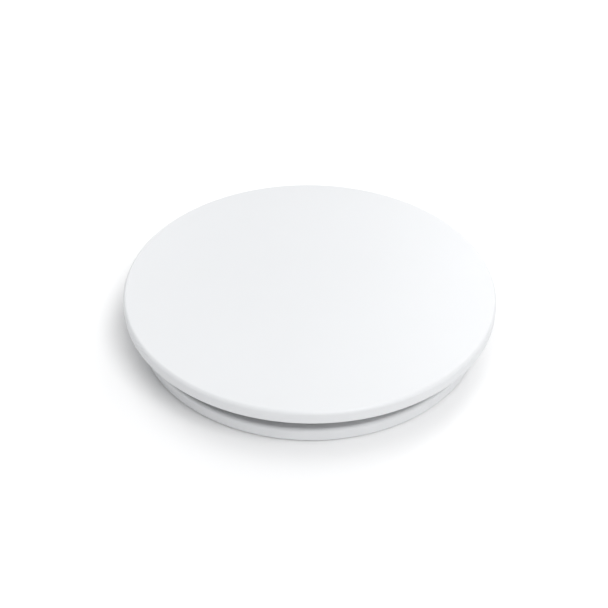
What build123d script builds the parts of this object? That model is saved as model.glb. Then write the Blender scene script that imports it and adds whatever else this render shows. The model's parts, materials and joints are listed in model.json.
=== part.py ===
from build123d import *
import math
import os

# Concealed fire sprinkler head, in millimetres, stored facing up.
# +Z points out of the ceiling into the room, and z = 0 is the ceiling's face.
# The origin is the centre of the hole in the ceiling, on that face.

# ---------------------------------------------------------------- cover plate
COVER_RADIUS = 42.05
COVER_TOP_Z = 11.1
COVER_SHEET = 0.9
COVER_RIM_HEIGHT = 2.9
COVER_EDGE_RADIUS = 0.8
COVER_INSIDE_RADIUS = 0.3
COVER_LIP_RADIUS = 0.2
COVER_BACK_Z = COVER_TOP_Z - COVER_SHEET

# ------------------------------------------------------------ retainer flange
FLANGE_RADIUS = 39.0
FLANGE_TOP_Z = 3.3
FLANGE_SHEET = 0.8
FLANGE_EDGE_RADIUS = 0.7
FLANGE_RIM_Z = 0.3
FLANGE_INSIDE_RADIUS = 0.2
FLANGE_FOOT_RADIUS = 0.2

# -------------------------------------------------------------- foam gasket
GASKET_INNER_RADIUS = 29.4
GASKET_LIP_RADIUS = 38.5
GASKET_CLEARANCE = 0.06
GASKET_CHAMFER = 0.4

# ------------------------------------------------------------- retainer skirt
SKIRT_RADIUS = 27.9
SKIRT_SHEET = 0.7
SKIRT_BOTTOM_Z = -22.5
SKIRT_LIP_RADIUS = 29.6
SKIRT_LIP_SHEET = 0.6
SKIRT_LIP_ROUND = 0.4
SKIRT_MOUTH_ROUND = 0.55
FIT_GAP = 0.02
SLOT_COUNT = 8
SLOT_WIDTH = 1.8
SLOT_TOP_Z = -11.5
DIMPLE_COUNT = 4
DIMPLE_RADIUS = 0.7
DIMPLE_CENTRE_RADIUS = 27.85
DIMPLE_Z = -19.6

# ------------------------------------- rolled thread between skirt and cup
THREAD_PITCH = 3.175
THREAD_GROOVE_RADIUS = 0.95
THREAD_GROOVE_CENTRE = 28.0
THREAD_BEAD_RADIUS = 1.55
THREAD_BEAD_CENTRE = 28.2
THREAD_RUN_OUT = 1.0

# ---------------------------------------------------------------- support cup
CUP_INNER_RADIUS = 28.2
CUP_SHEET = 0.8
CUP_BOTTOM_Z = -38.5
CUP_RIM_Z = -4.0
CUP_THREAD_Z = -26.0
CUP_HOLE_RADIUS = 11.05
CUP_CORNER_RADIUS = 2.3
CUP_CUT_MARGIN = 3.0
CUP_WINDOW_COUNT = 6
CUP_WINDOW_Z = -30.5
CUP_WINDOW_LENGTH = 12.0
CUP_WINDOW_HEIGHT = 5.0
CUP_VENT_COUNT = 6
CUP_VENT_CIRCLE = 20.0
CUP_VENT_RADIUS = 2.6
LOCK_RING_INNER_RADIUS = 10.3
LOCK_RING_OUTER_RADIUS = 14.0
LOCK_RING_SHEET = 1.0
LOCK_RING_GAP = 6.0
LOCK_GROOVE_GAP = 0.05

# -------------------------------------------------------------- inlet thread
INLET_Z = -57.15
INLET_THREAD_LENGTH = 13.6
INLET_PITCH = 1.814
INLET_LARGE_RADIUS = 10.67
INLET_TAPER = 1 / 32
INLET_THREAD_DEPTH = 1.1
INLET_TURN = ((0.1, 1), (0.45, 0), (0.6, 0), (0.95, 1))

# ------------------------------------------------------------ sprinkler body
BORE_RADIUS = 5.55
BORE_MOUTH = 1.7
NECK_RADIUS = 9.1
SHOULDER_RADIUS = 14.0
SHOULDER_HEIGHT = 3.0
SHOULDER_CHAMFER = 0.6
HUB_RADIUS = 11.0
HUB_TOP_Z = -36.4
HUB_TAPER = 0.3
HEX_FLATS = 19.0
HEX_TOP_Z = -33.2
OUTLET_RADIUS = 9.4
OUTLET_Z = -32.0
OUTLET_CHAMFER = 0.4
OUTLET_WALL = 0.5
SEAT_RADIUS = 7.4
SEAT_DEPTH = 1.0
ARM_RADIUS = 9.1
ARM_KNEE_Z = -20.5
ARM_ROOT = 0.9
ARM_TOP_RADIUS = 3.0
ARM_TOP_Z = -11.4
ARM_THICKNESS = 2.8
ARM_WIDTH = 4.4
ARM_BEND_RADIUS = 5.0
ARM_CORNER_RADIUS = 0.7
BOSS_RADIUS = 4.4
BOSS_BOTTOM_Z = -13.4
BOSS_STEP_Z = -9.5
BOSS_NECK_RADIUS = 3.4
BOSS_TOP_Z = -7.8
BOSS_CHAMFER = 0.6

# --------------------------------------------------- cap, seal and glass bulb
SEAL_OUTER_RADIUS = 7.3
SEAL_INNER_RADIUS = 4.0
SEAL_RISE = 0.6
FILM_SHEET = 0.12
WASHER_SHEET = 0.35
CAP_STEM_RADIUS = 3.9
CAP_STEM_Z = -34.6
CAP_FLANGE_RADIUS = 6.0
CAP_FLANGE_HEIGHT = 1.2
CAP_BOSS_RADIUS = 2.7
CAP_SEAT_RADIUS = 1.1
CAP_SEAT_DEPTH = 0.8
CAP_STEM_CHAMFER = 0.6
CAP_CHAMFER = 0.3
BULB_GAP = 0.02
BULB_RADIUS = 1.5
BULB_LOW_CENTRE_Z = -28.4
BULB_HIGH_CENTRE_Z = -15.0
BULB_WALL = 0.3
BULB_PIP_RADIUS = 0.75
BULB_PIP_TIP_RADIUS = 0.4
BULB_PIP_Z = -12.8
LIQUID_GAP = 0.02
LIQUID_TOP_Z = -16.4

# ------------------------------------------------------ compression screw
SCREW_RADIUS = 2.5
SCREW_TOP_Z = -6.9
SCREW_CUP_RADIUS = 1.0
SCREW_CUP_DEPTH = 1.6
SCREW_SOCKET_FLATS = 2.5
SCREW_SOCKET_DEPTH = 2.4
SCREW_POINT = 0.5
SCREW_CHAMFER = 0.3

# ------------------------------------------------------------ cap ejector
EJECTOR_SHEET = 0.35
EJECTOR_WIDTH = 2.6
EJECTOR_BEND = 0.5
EJECTOR_TOP_Z = -23.5
EJECTOR_KNEE_Z = -27.4
EJECTOR_FOOT_RADIUS = 4.8
EJECTOR_TOE_RADIUS = 3.0

# ----------------------------------------------- guide pins and deflector
PIN_OFFSET = 10.5
PIN_RADIUS = 1.2
PIN_NECK_RADIUS = 1.0
PIN_HEAD_RADIUS = 1.9
PIN_HEAD_HEIGHT = 1.3
PIN_CLEARANCE = 0.05
PIN_CHAMFER = 0.3
RIVET_SHOULDER = 0.45
RIVET_HEIGHT = 0.75
RIVET_TOP_RADIUS = 0.9
BUSH_RADIUS = 2.4
BUSH_BOTTOM_Z = -13.6
BUSH_TOP_Z = -6.9
HOUSING_SHEET = 1.4
HOUSING_WIDTH = 9.6
HOUSING_EAR_WIDTH = 5.95
DEFLECTOR_DROP = 14.0
DEFLECTOR_RADIUS = 14.5
DEFLECTOR_SHEET = 1.2
DEFLECTOR_TOP_Z = -1.8
TOOTH_COUNT = 12
TOOTH_SLOT_WIDTH = 1.7
TOOTH_SLOT_ROOT = 8.6
PORT_OFFSET = 5.6
PORT_RADIUS = 1.3

# ------------------------------------------ solder tabs and ejection springs
TAB_COUNT = 3
TAB_FIRST_ANGLE = 90
TAB_SHEET = 0.6
TAB_WIDTH = 7.0
TAB_FOOT_Z = -8.0
TAB_PAD_INNER = 19.6
TAB_PAD_OUTER = 24.6
TAB_KNEE_Z = 5.2
TAB_BEND = 1.2
SOLDER_RADIUS = 21.8
SOLDER_HEIGHT = 0.2
SOLDER_LENGTH = 3.6
SOLDER_WIDTH = 5.8
SOLDER_CORNER = 0.8
SPRING_FIRST_ANGLE = 30
SPRING_SHEET = 0.35
SPRING_WIDTH = 5.0
SPRING_BEND = 1.0
SPRING_FOOT_Z = -3.0
SPRING_ROOT_Z = 1.9
SPRING_KNEE = (24.2, 5.8)
SPRING_CREST_RADIUS = 20.4
SPRING_TOE_RADIUS = 18.0
SPRING_TOE_DROP = 1.3
SPRING_TOUCH_GAP = 0.03

LOW = (Align.CENTER, Align.CENTER, Align.MIN)
FULL_TURN = 360


def post(radius, low, high):
    """A solid cylinder on the axis, from one height to another."""
    return Pos(0, 0, low) * Cylinder(radius, high - low, align=LOW)


def tube(outer, inner, low, high):
    """A plain ring on the axis."""
    return post(outer, low, high) - post(inner, low, high)


def turned(outline):
    """A turned piece, from an outline in radius and height."""
    return revolve(Plane.XZ * make_face(outline), Axis.Z, FULL_TURN)


def turned_points(points):
    """A turned piece, from the corners of its outline."""
    return turned(Polyline(*points, close=True))


def soft_corners(points, corners):
    """The outline's face with some of its corners rounded: {corner number: radius}."""
    face = make_face(Polyline(*points, close=True))
    for number, radius in corners.items():
        corner = Vector(*points[number])
        vertex = face.vertices().sort_by_distance(corner)[0]
        face = fillet(vertex, radius)
    return face


def around(count, first=0.0):
    """The angles of equal steps round the axis."""
    return [first + FULL_TURN * number / count for number in range(count)]


def wall_seat(width, thickness):
    """Radius of the middle of a flat strip whose edges touch the skirt's inside."""
    inner = SKIRT_RADIUS - SKIRT_SHEET - FIT_GAP
    return math.sqrt(inner**2 - (width / 2) ** 2) - thickness / 2


def bent_strip(points, radius, thickness, width, angle):
    """A bent strip of sheet that lies in a radial plane at the given angle."""
    path = FilletPolyline(*points, radius=radius)
    side = Plane.XZ * trace(path, thickness)
    strip = extrude(side, width / 2, both=True)
    return Rot(0, 0, angle) * strip


# -------------------------------------------------------------------- cover
def cover_plate():
    """Flat painted plate with a short turned-down rim."""
    inner = COVER_RADIUS - COVER_SHEET
    rim_z = COVER_TOP_Z - COVER_RIM_HEIGHT
    points = [
        (0, COVER_BACK_Z),
        (inner, COVER_BACK_Z),
        (inner, rim_z),
        (COVER_RADIUS, rim_z),
        (COVER_RADIUS, COVER_TOP_Z),
        (0, COVER_TOP_Z),
    ]
    lip = COVER_LIP_RADIUS
    corners = {1: COVER_INSIDE_RADIUS, 2: lip, 3: lip, 4: COVER_EDGE_RADIUS}
    return revolve(Plane.XZ * soft_corners(points, corners), Axis.Z, FULL_TURN)


# ----------------------------------------------------------------- retainer
def retainer_flange():
    """Painted flange ring with a turned-down outer rim, staked on the skirt."""
    bore = SKIRT_RADIUS + FIT_GAP
    inner = FLANGE_RADIUS - FLANGE_SHEET
    back_z = FLANGE_TOP_Z - FLANGE_SHEET
    points = [
        (bore, back_z),
        (inner, back_z),
        (inner, FLANGE_RIM_Z),
        (FLANGE_RADIUS, FLANGE_RIM_Z),
        (FLANGE_RADIUS, FLANGE_TOP_Z),
        (bore, FLANGE_TOP_Z),
    ]
    foot = FLANGE_FOOT_RADIUS
    corners = {1: FLANGE_INSIDE_RADIUS, 2: foot, 3: foot, 4: FLANGE_EDGE_RADIUS}
    return revolve(Plane.XZ * soft_corners(points, corners), Axis.Z, FULL_TURN)


def skirt_shell():
    """Drawn skirt with its lip curled over the flange."""
    inner = SKIRT_RADIUS - SKIRT_SHEET
    lip_z = FLANGE_TOP_Z + SKIRT_LIP_SHEET
    points = [
        (inner, SKIRT_BOTTOM_Z),
        (SKIRT_RADIUS, SKIRT_BOTTOM_Z),
        (SKIRT_RADIUS, FLANGE_TOP_Z),
        (SKIRT_LIP_RADIUS, FLANGE_TOP_Z),
        (SKIRT_LIP_RADIUS, lip_z),
        (inner, lip_z),
    ]
    corners = {4: SKIRT_LIP_ROUND, 5: SKIRT_MOUTH_ROUND}
    return revolve(Plane.XZ * soft_corners(points, corners), Axis.Z, FULL_TURN)


def skirt_slot(angle):
    """Slot that frees the spring fingers at the skirt's lower end."""
    length = SLOT_TOP_Z - SKIRT_BOTTOM_Z
    middle = SKIRT_RADIUS - SKIRT_SHEET / 2
    slot = Box(4 * SKIRT_SHEET, SLOT_WIDTH, 2 * length)
    end = Rot(0, 90, 0) * Cylinder(SLOT_WIDTH / 2, 4 * SKIRT_SHEET)
    cutter = Pos(middle, 0, SKIRT_BOTTOM_Z) * slot + Pos(middle, 0, SLOT_TOP_Z) * end
    return Rot(0, 0, angle) * cutter


def skirt_dimple(angle):
    """Pressed dimple that runs in the cup's rolled thread."""
    rise = THREAD_PITCH * angle / FULL_TURN
    ball = Pos(DIMPLE_CENTRE_RADIUS, 0, DIMPLE_Z + rise) * Sphere(DIMPLE_RADIUS)
    hollow = post(SKIRT_RADIUS - SKIRT_SHEET, SKIRT_BOTTOM_Z, 0)
    return Rot(0, 0, angle) * (ball - hollow)


def retainer_skirt():
    """Skirt with spring fingers and thread dimples."""
    skirt = skirt_shell()
    half_step = FULL_TURN / SLOT_COUNT / 2
    for angle in around(SLOT_COUNT, half_step):
        skirt -= skirt_slot(angle)
    for angle in around(DIMPLE_COUNT, -FULL_TURN / 2):
        skirt += skirt_dimple(angle)
    return skirt


def ceiling_gasket():
    """Foam ring under the flange, squeezed thin below the flange's rim."""
    inner_face = FLANGE_RADIUS - FLANGE_SHEET - GASKET_CLEARANCE
    back_z = FLANGE_TOP_Z - FLANGE_SHEET
    points = [
        (GASKET_INNER_RADIUS, 0),
        (GASKET_LIP_RADIUS, 0),
        (GASKET_LIP_RADIUS, FLANGE_RIM_Z),
        (inner_face, FLANGE_RIM_Z),
        (inner_face, back_z - GASKET_CHAMFER),
        (inner_face - GASKET_CHAMFER, back_z),
        (GASKET_INNER_RADIUS, back_z),
    ]
    return turned_points(points)


def solder_tab(angle):
    """Tab that rises from the skirt and carries the cover on its solder pad."""
    half = TAB_SHEET / 2
    wall = wall_seat(TAB_WIDTH, TAB_SHEET)
    pad_z = COVER_BACK_Z - SOLDER_HEIGHT - half
    points = [
        (wall, TAB_FOOT_Z),
        (wall, TAB_KNEE_Z),
        (TAB_PAD_OUTER, pad_z),
        (TAB_PAD_INNER, pad_z),
    ]
    return bent_strip(points, TAB_BEND, TAB_SHEET, TAB_WIDTH, angle)


def solder_joint(angle):
    """Layer of fusible solder between a tab and the back of the cover."""
    size = RectangleRounded(SOLDER_LENGTH, SOLDER_WIDTH, SOLDER_CORNER)
    pad = extrude(size, SOLDER_HEIGHT)
    return Rot(0, 0, angle) * Pos(SOLDER_RADIUS, 0, COVER_BACK_Z - SOLDER_HEIGHT) * pad


def ejection_spring(angle):
    """Leaf spring that pushes the cover off when the solder melts."""
    half = SPRING_SHEET / 2
    wall = wall_seat(SPRING_WIDTH, SPRING_SHEET)
    touch_z = COVER_BACK_Z - SPRING_TOUCH_GAP - half
    points = [
        (wall, SPRING_FOOT_Z),
        (wall, SPRING_ROOT_Z),
        SPRING_KNEE,
        (SPRING_CREST_RADIUS, touch_z),
        (SPRING_TOE_RADIUS, touch_z - SPRING_TOE_DROP),
    ]
    return bent_strip(points, SPRING_BEND, SPRING_SHEET, SPRING_WIDTH, angle)


# -------------------------------------------------------------- support cup
def helical_tube(centre_radius, tube_radius, low, high):
    """Round tube along the rolled thread's helix."""
    path = Helix(THREAD_PITCH, high - low, centre_radius, center=(0, 0, low))
    start = Plane(origin=path @ 0, z_dir=path % 0)
    return sweep(start * Circle(tube_radius), path=path, is_frenet=True)


def cup_floor():
    """Drawn lower part of the cup: floor, corner and plain wall."""
    outer = CUP_INNER_RADIUS + CUP_SHEET
    floor_z = CUP_BOTTOM_Z + CUP_SHEET
    points = [
        (CUP_HOLE_RADIUS, CUP_BOTTOM_Z),
        (outer, CUP_BOTTOM_Z),
        (outer, CUP_THREAD_Z),
        (CUP_INNER_RADIUS, CUP_THREAD_Z),
        (CUP_INNER_RADIUS, floor_z),
        (CUP_HOLE_RADIUS, floor_z),
    ]
    corners = {1: CUP_CORNER_RADIUS, 4: CUP_CORNER_RADIUS - CUP_SHEET}
    return revolve(Plane.XZ * soft_corners(points, corners), Axis.Z, FULL_TURN)


def cup_window(angle):
    """Long window in the cup's wall."""
    window = SlotOverall(CUP_WINDOW_LENGTH, CUP_WINDOW_HEIGHT)
    plane = Plane(origin=(0, 0, CUP_WINDOW_Z), x_dir=(0, 1, 0), z_dir=(1, 0, 0))
    cutter = extrude(plane * window, CUP_INNER_RADIUS + CUP_CUT_MARGIN)
    near = post(CUP_INNER_RADIUS - CUP_CUT_MARGIN, CUP_BOTTOM_Z, CUP_RIM_Z)
    return Rot(0, 0, angle) * (cutter - near)


def cup_thread():
    """Upper part of the cup's wall, with the rolled thread for the retainer."""
    start_z = DIMPLE_Z - THREAD_PITCH
    end_z = CUP_RIM_Z - THREAD_RUN_OUT
    bead = helical_tube(THREAD_BEAD_CENTRE, THREAD_BEAD_RADIUS, start_z, end_z)
    bead -= post(CUP_INNER_RADIUS, CUP_BOTTOM_Z, -CUP_RIM_Z)
    wall = tube(CUP_INNER_RADIUS + CUP_SHEET, CUP_INNER_RADIUS, CUP_THREAD_Z, CUP_RIM_Z)
    wall += bead
    wall -= helical_tube(THREAD_GROOVE_CENTRE, THREAD_GROOVE_RADIUS, start_z, end_z)
    return wall - post(2 * CUP_INNER_RADIUS, CUP_RIM_Z, 0)


def support_cup():
    """Cup with windows, floor vents and a rolled thread for the retainer."""
    cup = cup_floor() + cup_thread()
    for angle in around(CUP_WINDOW_COUNT):
        cup -= cup_window(angle)
    for angle in around(CUP_VENT_COUNT, FULL_TURN / CUP_VENT_COUNT / 2):
        vent = post(CUP_VENT_RADIUS, CUP_BOTTOM_Z - CUP_SHEET, CUP_BOTTOM_Z + 2 * CUP_SHEET)
        cup -= Rot(0, 0, angle) * Pos(CUP_VENT_CIRCLE, 0, 0) * vent
    return cup


def cup_lock_ring():
    """Open ring, snapped into the hub's groove, that holds the cup on."""
    low = CUP_BOTTOM_Z + CUP_SHEET
    ring = tube(LOCK_RING_OUTER_RADIUS, LOCK_RING_INNER_RADIUS, low, low + LOCK_RING_SHEET)
    gap = Box(LOCK_RING_OUTER_RADIUS, LOCK_RING_GAP, 3 * LOCK_RING_SHEET)
    ring -= Pos(LOCK_RING_OUTER_RADIUS, 0, low) * gap
    return Rot(0, 0, 90) * ring


# ----------------------------------------------------------- sprinkler body
def thread_outline():
    """Corners of the tapered inlet thread, from its small end upwards."""
    turns = int(INLET_THREAD_LENGTH / INLET_PITCH)
    corners = []
    for turn in range(turns):
        for share, depth in INLET_TURN:
            height = (turn + share) * INLET_PITCH
            crest = INLET_LARGE_RADIUS - (INLET_THREAD_LENGTH - height) * INLET_TAPER
            corners.append((crest - depth * INLET_THREAD_DEPTH, INLET_Z + height))
    return corners


def body_of_revolution():
    """Inlet thread, cup shoulder, hub and outlet, with the waterway through them."""
    neck_z = INLET_Z + INLET_THREAD_LENGTH
    shoulder_z = CUP_BOTTOM_Z - SHOULDER_HEIGHT
    groove_low = CUP_BOTTOM_Z + CUP_SHEET
    groove_high = groove_low + LOCK_RING_SHEET + LOCK_GROOVE_GAP
    groove = LOCK_RING_INNER_RADIUS - LOCK_GROOVE_GAP
    small = INLET_LARGE_RADIUS - INLET_THREAD_LENGTH * INLET_TAPER - INLET_THREAD_DEPTH
    points = [(BORE_RADIUS + BORE_MOUTH, INLET_Z), (small, INLET_Z)]
    points += thread_outline()
    points += [
        (NECK_RADIUS, neck_z),
        (NECK_RADIUS, shoulder_z),
        (SHOULDER_RADIUS - SHOULDER_CHAMFER, shoulder_z),
        (SHOULDER_RADIUS, shoulder_z + SHOULDER_CHAMFER),
        (SHOULDER_RADIUS, CUP_BOTTOM_Z),
        (HUB_RADIUS, CUP_BOTTOM_Z),
        (HUB_RADIUS, groove_low),
        (groove, groove_low),
        (groove, groove_high),
        (HUB_RADIUS, groove_high),
        (HUB_RADIUS - HUB_TAPER, HUB_TOP_Z),
        (OUTLET_RADIUS, HUB_TOP_Z),
        (OUTLET_RADIUS, OUTLET_Z - OUTLET_CHAMFER),
        (OUTLET_RADIUS - OUTLET_CHAMFER, OUTLET_Z),
        (SEAT_RADIUS, OUTLET_Z),
        (SEAT_RADIUS, OUTLET_Z - SEAT_DEPTH),
        (BORE_RADIUS, OUTLET_Z - SEAT_DEPTH),
        (BORE_RADIUS, INLET_Z + BORE_MOUTH),
    ]
    return turned_points(points)


def wrench_hexagon():
    """Hexagon round the outlet for the installer's socket."""
    flat = RegularPolygon(HEX_FLATS / 2, 6, major_radius=False)
    hexagon = Pos(0, 0, HUB_TOP_Z) * extrude(flat, HEX_TOP_Z - HUB_TOP_Z)
    return hexagon - post(OUTLET_RADIUS - OUTLET_WALL, HUB_TOP_Z, HEX_TOP_Z)


def frame_arm(angle):
    """Arm from the outlet to the boss over the bulb."""
    points = [
        (ARM_RADIUS, OUTLET_Z - ARM_ROOT),
        (ARM_RADIUS, ARM_KNEE_Z),
        (ARM_TOP_RADIUS, ARM_TOP_Z),
    ]
    arm = bent_strip(points, ARM_BEND_RADIUS, ARM_THICKNESS, ARM_WIDTH, 0)
    edges = arm.edges().filter_by(GeomType.LINE).filter_by(Axis.Z)
    return Rot(0, 0, angle) * fillet(edges, ARM_CORNER_RADIUS)


def frame_boss():
    """Boss that holds the compression screw and the guide pin housing."""
    points = [
        (0, BOSS_BOTTOM_Z),
        (BOSS_RADIUS - BOSS_CHAMFER, BOSS_BOTTOM_Z),
        (BOSS_RADIUS, BOSS_BOTTOM_Z + BOSS_CHAMFER),
        (BOSS_RADIUS, BOSS_STEP_Z),
        (BOSS_NECK_RADIUS, BOSS_STEP_Z),
        (BOSS_NECK_RADIUS, BOSS_TOP_Z),
        (0, BOSS_TOP_Z),
    ]
    return turned_points(points)


def sprinkler_body():
    """Brass body: inlet thread, waterway, hexagon, frame arms and boss."""
    body = body_of_revolution() + wrench_hexagon()
    for angle in around(2):
        body += frame_arm(angle)
    body += frame_boss()
    return body - post(SCREW_RADIUS, BOSS_BOTTOM_Z, BOSS_TOP_Z)


# --------------------------------------------------------- seal, cap and bulb
def seal_cone(low, thickness):
    """Coned ring between the outlet's seat and the cap."""
    points = [
        (SEAL_INNER_RADIUS, low + SEAL_RISE),
        (SEAL_OUTER_RADIUS, low),
        (SEAL_OUTER_RADIUS, low + thickness),
        (SEAL_INNER_RADIUS, low + thickness + SEAL_RISE),
    ]
    return turned_points(points)


def seal_top_z():
    """Height of the washer's inner edge, which the cap rests on."""
    return OUTLET_Z - SEAT_DEPTH + FILM_SHEET + WASHER_SHEET + SEAL_RISE


def outlet_cap():
    """Button that closes the outlet and carries the bulb."""
    flange_z = seal_top_z()
    top_z = flange_z + CAP_FLANGE_HEIGHT
    boss_z = BULB_LOW_CENTRE_Z - math.sqrt(BULB_RADIUS**2 - CAP_SEAT_RADIUS**2) - BULB_GAP
    points = [
        (0, CAP_STEM_Z),
        (CAP_STEM_RADIUS - CAP_STEM_CHAMFER, CAP_STEM_Z),
        (CAP_STEM_RADIUS, CAP_STEM_Z + CAP_STEM_CHAMFER),
        (CAP_STEM_RADIUS, flange_z),
        (CAP_FLANGE_RADIUS, flange_z),
        (CAP_FLANGE_RADIUS, top_z - CAP_CHAMFER),
        (CAP_FLANGE_RADIUS - CAP_CHAMFER, top_z),
        (CAP_BOSS_RADIUS, top_z),
        (CAP_BOSS_RADIUS - CAP_CHAMFER, boss_z),
        (CAP_SEAT_RADIUS, boss_z),
        (CAP_SEAT_RADIUS, boss_z - CAP_SEAT_DEPTH),
        (0, boss_z - CAP_SEAT_DEPTH),
    ]
    return turned_points(points)


def bulb_outline(shrink, pip):
    """Outline of the bulb or its hollow: round low end, barrel, shoulder, pip."""
    radius = BULB_RADIUS - shrink
    low = BULB_LOW_CENTRE_Z
    high = BULB_HIGH_CENTRE_Z
    slant = math.sqrt(0.5) * radius
    low_end = ThreePointArc((0, low - radius), (slant, low - slant), (radius, low))
    barrel = Line((radius, low), (radius, high))
    if not pip:
        top = ThreePointArc((radius, high), (slant, high + slant), (0, high + radius))
        axis = Line((0, high + radius), (0, low - radius))
        return Wire([low_end, barrel, top, axis])
    edge = high + math.sqrt(radius**2 - BULB_PIP_RADIUS**2)
    shoulder = ThreePointArc((radius, high), (slant, high + slant), (BULB_PIP_RADIUS, edge))
    neck = Line((BULB_PIP_RADIUS, edge), (BULB_PIP_TIP_RADIUS, BULB_PIP_Z))
    tip = Line((BULB_PIP_TIP_RADIUS, BULB_PIP_Z), (0, BULB_PIP_Z))
    axis = Line((0, BULB_PIP_Z), (0, low - radius))
    return Wire([low_end, barrel, shoulder, neck, tip, axis])


def glass_bulb():
    """Frangible glass bulb, hollow inside."""
    return turned(bulb_outline(0, True)) - turned(bulb_outline(BULB_WALL, False))


def bulb_liquid():
    """Coloured liquid in the bulb, with a bubble's room left above it."""
    fill = turned(bulb_outline(BULB_WALL + LIQUID_GAP, False))
    return fill - post(BULB_RADIUS, LIQUID_TOP_Z, BULB_PIP_Z)


def compression_screw():
    """Set screw in the boss that loads the bulb against the cap."""
    rim_z = BULB_HIGH_CENTRE_Z + math.sqrt(BULB_RADIUS**2 - SCREW_CUP_RADIUS**2) + BULB_GAP
    points = [
        (0, rim_z + SCREW_CUP_DEPTH),
        (SCREW_CUP_RADIUS, rim_z + SCREW_CUP_DEPTH),
        (SCREW_CUP_RADIUS, rim_z),
        (SCREW_RADIUS - SCREW_POINT, rim_z),
        (SCREW_RADIUS, rim_z + SCREW_POINT),
        (SCREW_RADIUS, SCREW_TOP_Z - SCREW_CHAMFER),
        (SCREW_RADIUS - SCREW_CHAMFER, SCREW_TOP_Z),
        (0, SCREW_TOP_Z),
    ]
    socket = RegularPolygon(SCREW_SOCKET_FLATS / 2, 6, major_radius=False)
    hexagon = extrude(socket, SCREW_SOCKET_DEPTH)
    return turned_points(points) - Pos(0, 0, SCREW_TOP_Z - SCREW_SOCKET_DEPTH) * hexagon


def cap_ejector():
    """Bent strip between an arm and the cap that throws the cap aside."""
    half = EJECTOR_SHEET / 2
    arm_face = ARM_RADIUS - ARM_THICKNESS / 2 - half
    cap_top = seal_top_z() + CAP_FLANGE_HEIGHT + half
    points = [
        (arm_face, EJECTOR_TOP_Z),
        (arm_face, EJECTOR_KNEE_Z),
        (EJECTOR_FOOT_RADIUS, cap_top),
        (EJECTOR_TOE_RADIUS, cap_top),
    ]
    return bent_strip(points, EJECTOR_BEND, EJECTOR_SHEET, EJECTOR_WIDTH, 0)


# ------------------------------------------------------ guide pins, deflector
def guide_pin_housing():
    """Plate on the boss with a long bush for each guide pin."""
    low = BOSS_STEP_Z
    high = low + HOUSING_SHEET
    outline = SlotOverall(2 * PIN_OFFSET + HOUSING_EAR_WIDTH, HOUSING_EAR_WIDTH)
    centre = Circle(HOUSING_WIDTH / 2)
    plate = Pos(0, 0, low) * extrude(Rot(0, 0, 90) * outline + centre, HOUSING_SHEET)
    plate -= post(BOSS_NECK_RADIUS + FIT_GAP, low, high)
    for side in (-1, 1):
        bush = Pos(0, side * PIN_OFFSET, 0)
        plate += bush * post(BUSH_RADIUS, BUSH_BOTTOM_Z, BUSH_TOP_Z)
        plate -= bush * post(PIN_RADIUS + PIN_CLEARANCE, BUSH_BOTTOM_Z, BUSH_TOP_Z)
    return plate


def guide_pin(side):
    """Pin that hangs the deflector, with a stop head and a riveted end."""
    head_top = BUSH_BOTTOM_Z - DEFLECTOR_DROP
    plate_low = DEFLECTOR_TOP_Z - DEFLECTOR_SHEET
    points = [
        (0, head_top - PIN_HEAD_HEIGHT),
        (PIN_HEAD_RADIUS - PIN_CHAMFER, head_top - PIN_HEAD_HEIGHT),
        (PIN_HEAD_RADIUS, head_top - PIN_HEAD_HEIGHT + PIN_CHAMFER),
        (PIN_HEAD_RADIUS, head_top),
        (PIN_RADIUS, head_top),
        (PIN_RADIUS, plate_low),
        (PIN_NECK_RADIUS, plate_low),
        (PIN_NECK_RADIUS, DEFLECTOR_TOP_Z),
        (PIN_HEAD_RADIUS, DEFLECTOR_TOP_Z),
        (PIN_HEAD_RADIUS - PIN_CHAMFER, DEFLECTOR_TOP_Z + RIVET_SHOULDER),
        (RIVET_TOP_RADIUS, DEFLECTOR_TOP_Z + RIVET_HEIGHT),
        (0, DEFLECTOR_TOP_Z + RIVET_HEIGHT),
    ]
    return Pos(0, side * PIN_OFFSET, 0) * turned_points(points)


def deflector():
    """Toothed plate that breaks the water jet into a spray."""
    disc = Circle(DEFLECTOR_RADIUS)
    half_step = FULL_TURN / TOOTH_COUNT / 2
    length = DEFLECTOR_RADIUS - TOOTH_SLOT_ROOT + TOOTH_SLOT_WIDTH
    for angle in around(TOOTH_COUNT, half_step):
        slot = Pos(TOOTH_SLOT_ROOT + length / 2, 0) * SlotOverall(length, TOOTH_SLOT_WIDTH)
        disc -= Rot(0, 0, angle) * slot
    for side in (-1, 1):
        disc -= Pos(0, side * PIN_OFFSET) * Circle(PIN_NECK_RADIUS)
        disc -= Pos(side * PORT_OFFSET, 0) * Circle(PORT_RADIUS)
    return Pos(0, 0, DEFLECTOR_TOP_Z - DEFLECTOR_SHEET) * extrude(disc, DEFLECTOR_SHEET)


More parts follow.
